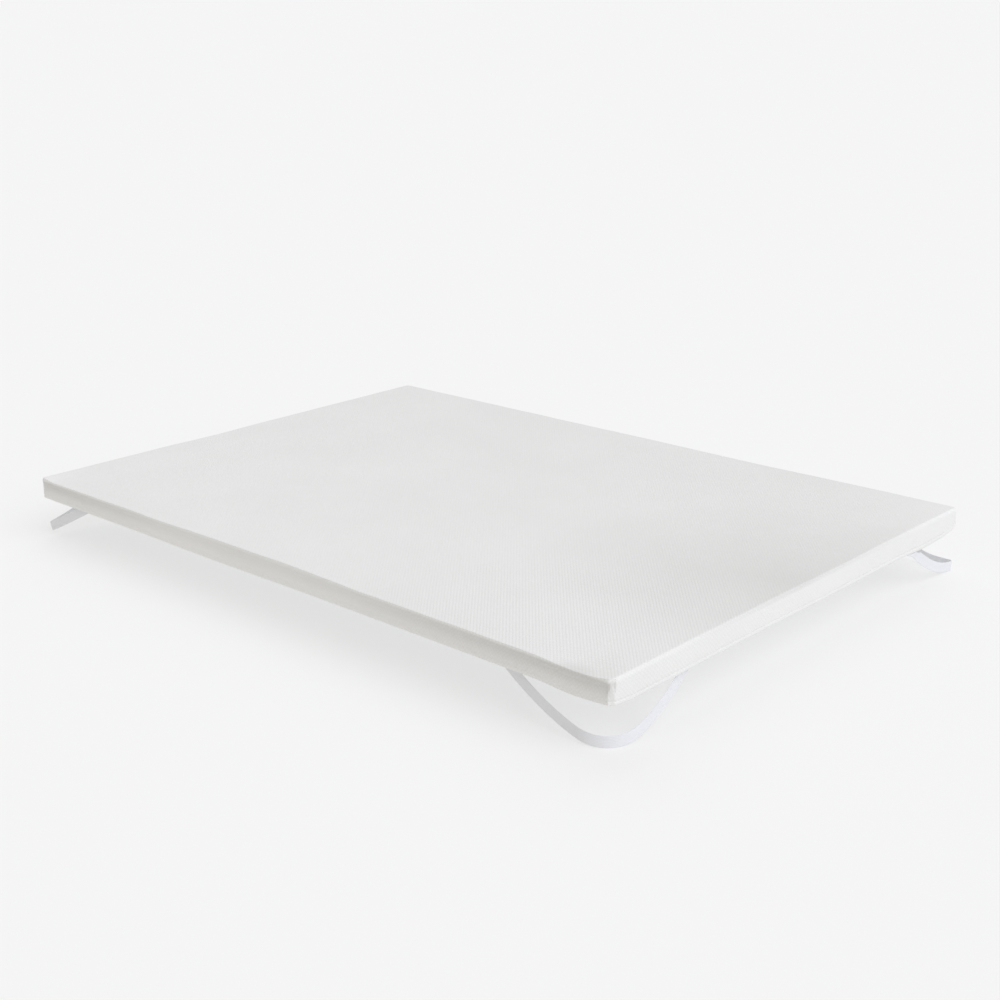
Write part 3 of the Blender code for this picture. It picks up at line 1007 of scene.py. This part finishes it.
def band_stations(strap, side):
    """Ends of each cross line over half of the band, as distances and rises, lower end first."""
    span = strap[side + "_span"]
    half_turn = strap["turn"] * math.pi / 4
    distances = [half_turn * step / TURN_STEPS for step in range(TURN_STEPS)]
    rise_step = (span - half_turn) / RISE_STEPS
    distances += [half_turn + rise_step * step for step in range(RISE_STEPS + 1)]
    stations = []
    for distance in distances:
        rise, slope = band_centre(strap, side, distance)
        levelling = (distance / span - STRAP_LEVELLING_SHARE) / (1.0 - STRAP_LEVELLING_SHARE)
        levelled = smooth_step(levelling)
        upright = 1.0 - smooth_step(distance / STRAP_UPRIGHT_REACH)
        lean = (math.pi / 2 - slope) * levelled - slope * upright
        half = STRAP_WIDTH / 2 / math.cos(lean)
        tuck = strap["tuck"] * (1.0 - smooth_step(distance / TUCK_REACH))
        if strap["tuck"] > 0.0:
            half *= 1.0 - upright * (1.0 - math.cos(slope))
        along = half * math.sin(slope + lean)
        up = half * math.cos(slope + lean)
        stations.append(((distance + along, rise - up, tuck), (distance - along, rise + up, 0.0)))
    rises = [STRAP_FOLD_LENGTH * step / FOLD_STEPS for step in range(1, FOLD_STEPS + 1)]
    rises += [STRAP_FOLD_LENGTH + STRAP_TAB_DEPTH * share for share in TAB_SHARES]
    for rise in rises:
        middle, half = end_line(strap, side, rise)
        stations.append(((middle + half, rise, 0.0), (middle - half, rise, 0.0)))
    return stations


# The band's rounded edge: places across the band from 0 to 1, and the share of its thickness there
BAND_EDGE = [(0.0, 0.35), (0.02, 0.8), (0.06, 1.0)]
SECTION_STEPS = 12
SHARP_ANGLE = 50.0


def band_section():
    """The band's cross-section, round its outer face, its edge and its inner face: place across
    it, and height as a share of half its thickness."""
    first = BAND_EDGE[-1][0]
    inner_step = (1.0 - 2.0 * first) / SECTION_STEPS
    outer = BAND_EDGE + [(first + inner_step * step, 1.0) for step in range(1, SECTION_STEPS)]
    outer += [(1.0 - place, height) for place, height in reversed(BAND_EDGE)]
    return outer + [(place, -height) for place, height in reversed(outer)]


def make_strap(strap, material):
    stations = [(-1, pair) for pair in reversed(band_stations(strap, "long")[1:])]
    stations += [(1, pair) for pair in band_stations(strap, "short")]
    section = band_section()
    points, faces, cloth = [], [], []
    before, run_length = None, 0.0
    for side, (lower, upper) in stations:
        middle_rise = (lower[1] + upper[1]) / 2
        middle = band_point(strap, side * (lower[0] + upper[0]) / 2, middle_rise, 0.0)
        if before is not None:
            run_length += (middle - before).length
        before = middle
        for place, thick in section:
            distance = lower[0] + (upper[0] - lower[0]) * place
            rise = lower[1] + (upper[1] - lower[1]) * place
            proud = thick * STRAP_THICKNESS / 2 - lower[2] * (1.0 - place)
            points.append(band_point(strap, side * distance, rise, proud))
            cloth.append((place * STRAP_WIDTH, run_length))
    size = len(section)
    last = (len(stations) - 1) * size
    for first in range(0, last, size):
        for index in range(size):
            a, b = first + index, first + (index + 1) % size
            faces.append((a, b, b + size, a + size))
    for index in range(size // 2 - 1):
        a, b = index, index + 1
        c, d = size - 1 - b, size - 1 - a
        faces.append((d, c, b, a))
        faces.append((last + a, last + b, last + c, last + d))
    if strap["sign_x"] * strap["sign_y"] > 0:
        faces = [tuple(reversed(face)) for face in faces]
    piece = add_mesh(strap["name"].replace("strap_", "elastic_"), points, faces, material)
    add_cloth_map(piece, [cloth[vertex] for face in faces for vertex in face])
    piece.data.set_sharp_from_angle(angle=math.radians(SHARP_ANGLE))
    return piece, run_length


# Stitching

THREAD_THICKNESS = 0.0004
SEAM_STITCH = 0.0027
SEAM_STITCH_PITCH = 0.0036
SEAM_STITCH_RING = 2
TAB_STITCH = 0.0022
TAB_STITCH_PITCH = 0.0030
THREAD_SIDES = 5
# Rows of points along a stitch: place as a share of its length, height in thread thicknesses
STITCH_ROWS = ((-0.5, -0.3), (-0.3, 0.35), (0.3, 0.35), (0.5, -0.3))
# The box of stitches and its first diagonal: places across the band and along its flat end
TAB_BOX = ((0.14, 0.16), (0.86, 0.16), (0.86, 0.86), (0.14, 0.86), (0.14, 0.16), (0.86, 0.86))
TAB_LINE_STEPS = 8


def stitches_along(path, lifts, length, pitch):
    """Points and faces of short stitches set along a path, each bowed up at its middle."""
    points, faces = [], []
    steps = [(after - before).length for before, after in zip(path, path[1:])]
    ends = np.concatenate([[0.0], np.cumsum(steps)])
    for number in range(int(ends[-1] / pitch)):
        middle = (number + 0.5) * pitch
        index = min(max(int(np.searchsorted(ends, middle)) - 1, 0), len(path) - 2)
        share = (middle - ends[index]) / max(steps[index], SMALLEST_LENGTH)
        place = path[index].lerp(path[index + 1], share)
        ahead = (path[index + 1] - path[index]).normalized()
        lift = lifts[index].lerp(lifts[index + 1], share).normalized()
        lift = (lift - ahead * lift.dot(ahead)).normalized()
        across = ahead.cross(lift)
        first = len(points)
        for along, up in STITCH_ROWS:
            centre = place + ahead * along * length + lift * up * THREAD_THICKNESS
            for corner in range(THREAD_SIDES):
                angle = 2 * math.pi * corner / THREAD_SIDES
                arm = across * math.cos(angle) + lift * math.sin(angle)
                points.append(centre + arm * THREAD_THICKNESS / 2)
        for row in range(len(STITCH_ROWS) - 1):
            start = first + row * THREAD_SIDES
            for corner in range(THREAD_SIDES):
                a, b = start + corner, start + (corner + 1) % THREAD_SIDES
                faces.append((a, b, b + THREAD_SIDES, a + THREAD_SIDES))
        last = first + (len(STITCH_ROWS) - 1) * THREAD_SIDES
        faces.append(tuple(first + corner for corner in reversed(range(THREAD_SIDES))))
        faces.append(tuple(last + corner for corner in range(THREAD_SIDES)))
    return points, faces


def seam_stitching(piece, pad):
    """The row of stitches just above the seam that closes the pad's underside."""
    ring = ABOVE_SEAM_RING + SEAM_STITCH_RING
    places = pad_points(piece)
    chosen = [index for index, info in enumerate(pad.info) if info[0] == ring]
    path = [Vector(places[index]) for index in chosen]
    lifts = []
    for before, after in zip(path[-1:] + path[:-1], path[1:] + path[:1]):
        ahead = after - before
        lifts.append(Vector((ahead.y, -ahead.x, 0.0)).normalized())
    return stitches_along(path + path[:1], lifts + lifts[:1], SEAM_STITCH, SEAM_STITCH_PITCH)


def tab_stitching(strap):
    """A box of stitches with a cross in it, on the underside of each sewn end of a strap."""
    points, faces = [], []
    lines = list(zip(TAB_BOX, TAB_BOX[1:])) + [(TAB_BOX[1], TAB_BOX[3])]
    for side, run_side in (("long", -1), ("short", 1)):
        for start, stop in lines:
            path = []
            for step in range(TAB_LINE_STEPS + 1):
                across, depth = Vector(start).lerp(Vector(stop), step / TAB_LINE_STEPS)
                rise = STRAP_FOLD_LENGTH + STRAP_TAB_DEPTH * depth
                middle, half = end_line(strap, side, rise)
                distance = middle + half * (1.0 - 2.0 * across)
                path.append(band_point(strap, run_side * distance, rise, -STRAP_THICKNESS / 2))
            lifts = [Vector((0.0, 0.0, -1.0))] * len(path)
            new_points, new_faces = stitches_along(path, lifts, TAB_STITCH, TAB_STITCH_PITCH)
            faces += [tuple(v + len(points) for v in face) for face in new_faces]
            points += new_points
    return points, faces


add_camera()
add_floor()
add_light()

cover, pad_mesh = make_pad()
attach(cover, "root")
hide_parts("topper_pad")

elastic = elastic_material()
for strap in STRAPS:
    band, band_length = make_strap(strap, elastic)
    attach(band, "root")
    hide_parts(strap["name"])

thread = thread_material()
rows = [("seam_stitching", "knit_cover", seam_stitching(cover, pad_mesh))]
for strap in STRAPS:
    rows.append((strap["name"].replace("strap_", "stitching_"), "elastic", tab_stitching(strap)))
for name, slot, (points, faces) in rows:
    stitching = add_mesh(name, points, faces, thread)
    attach(stitching, "root")
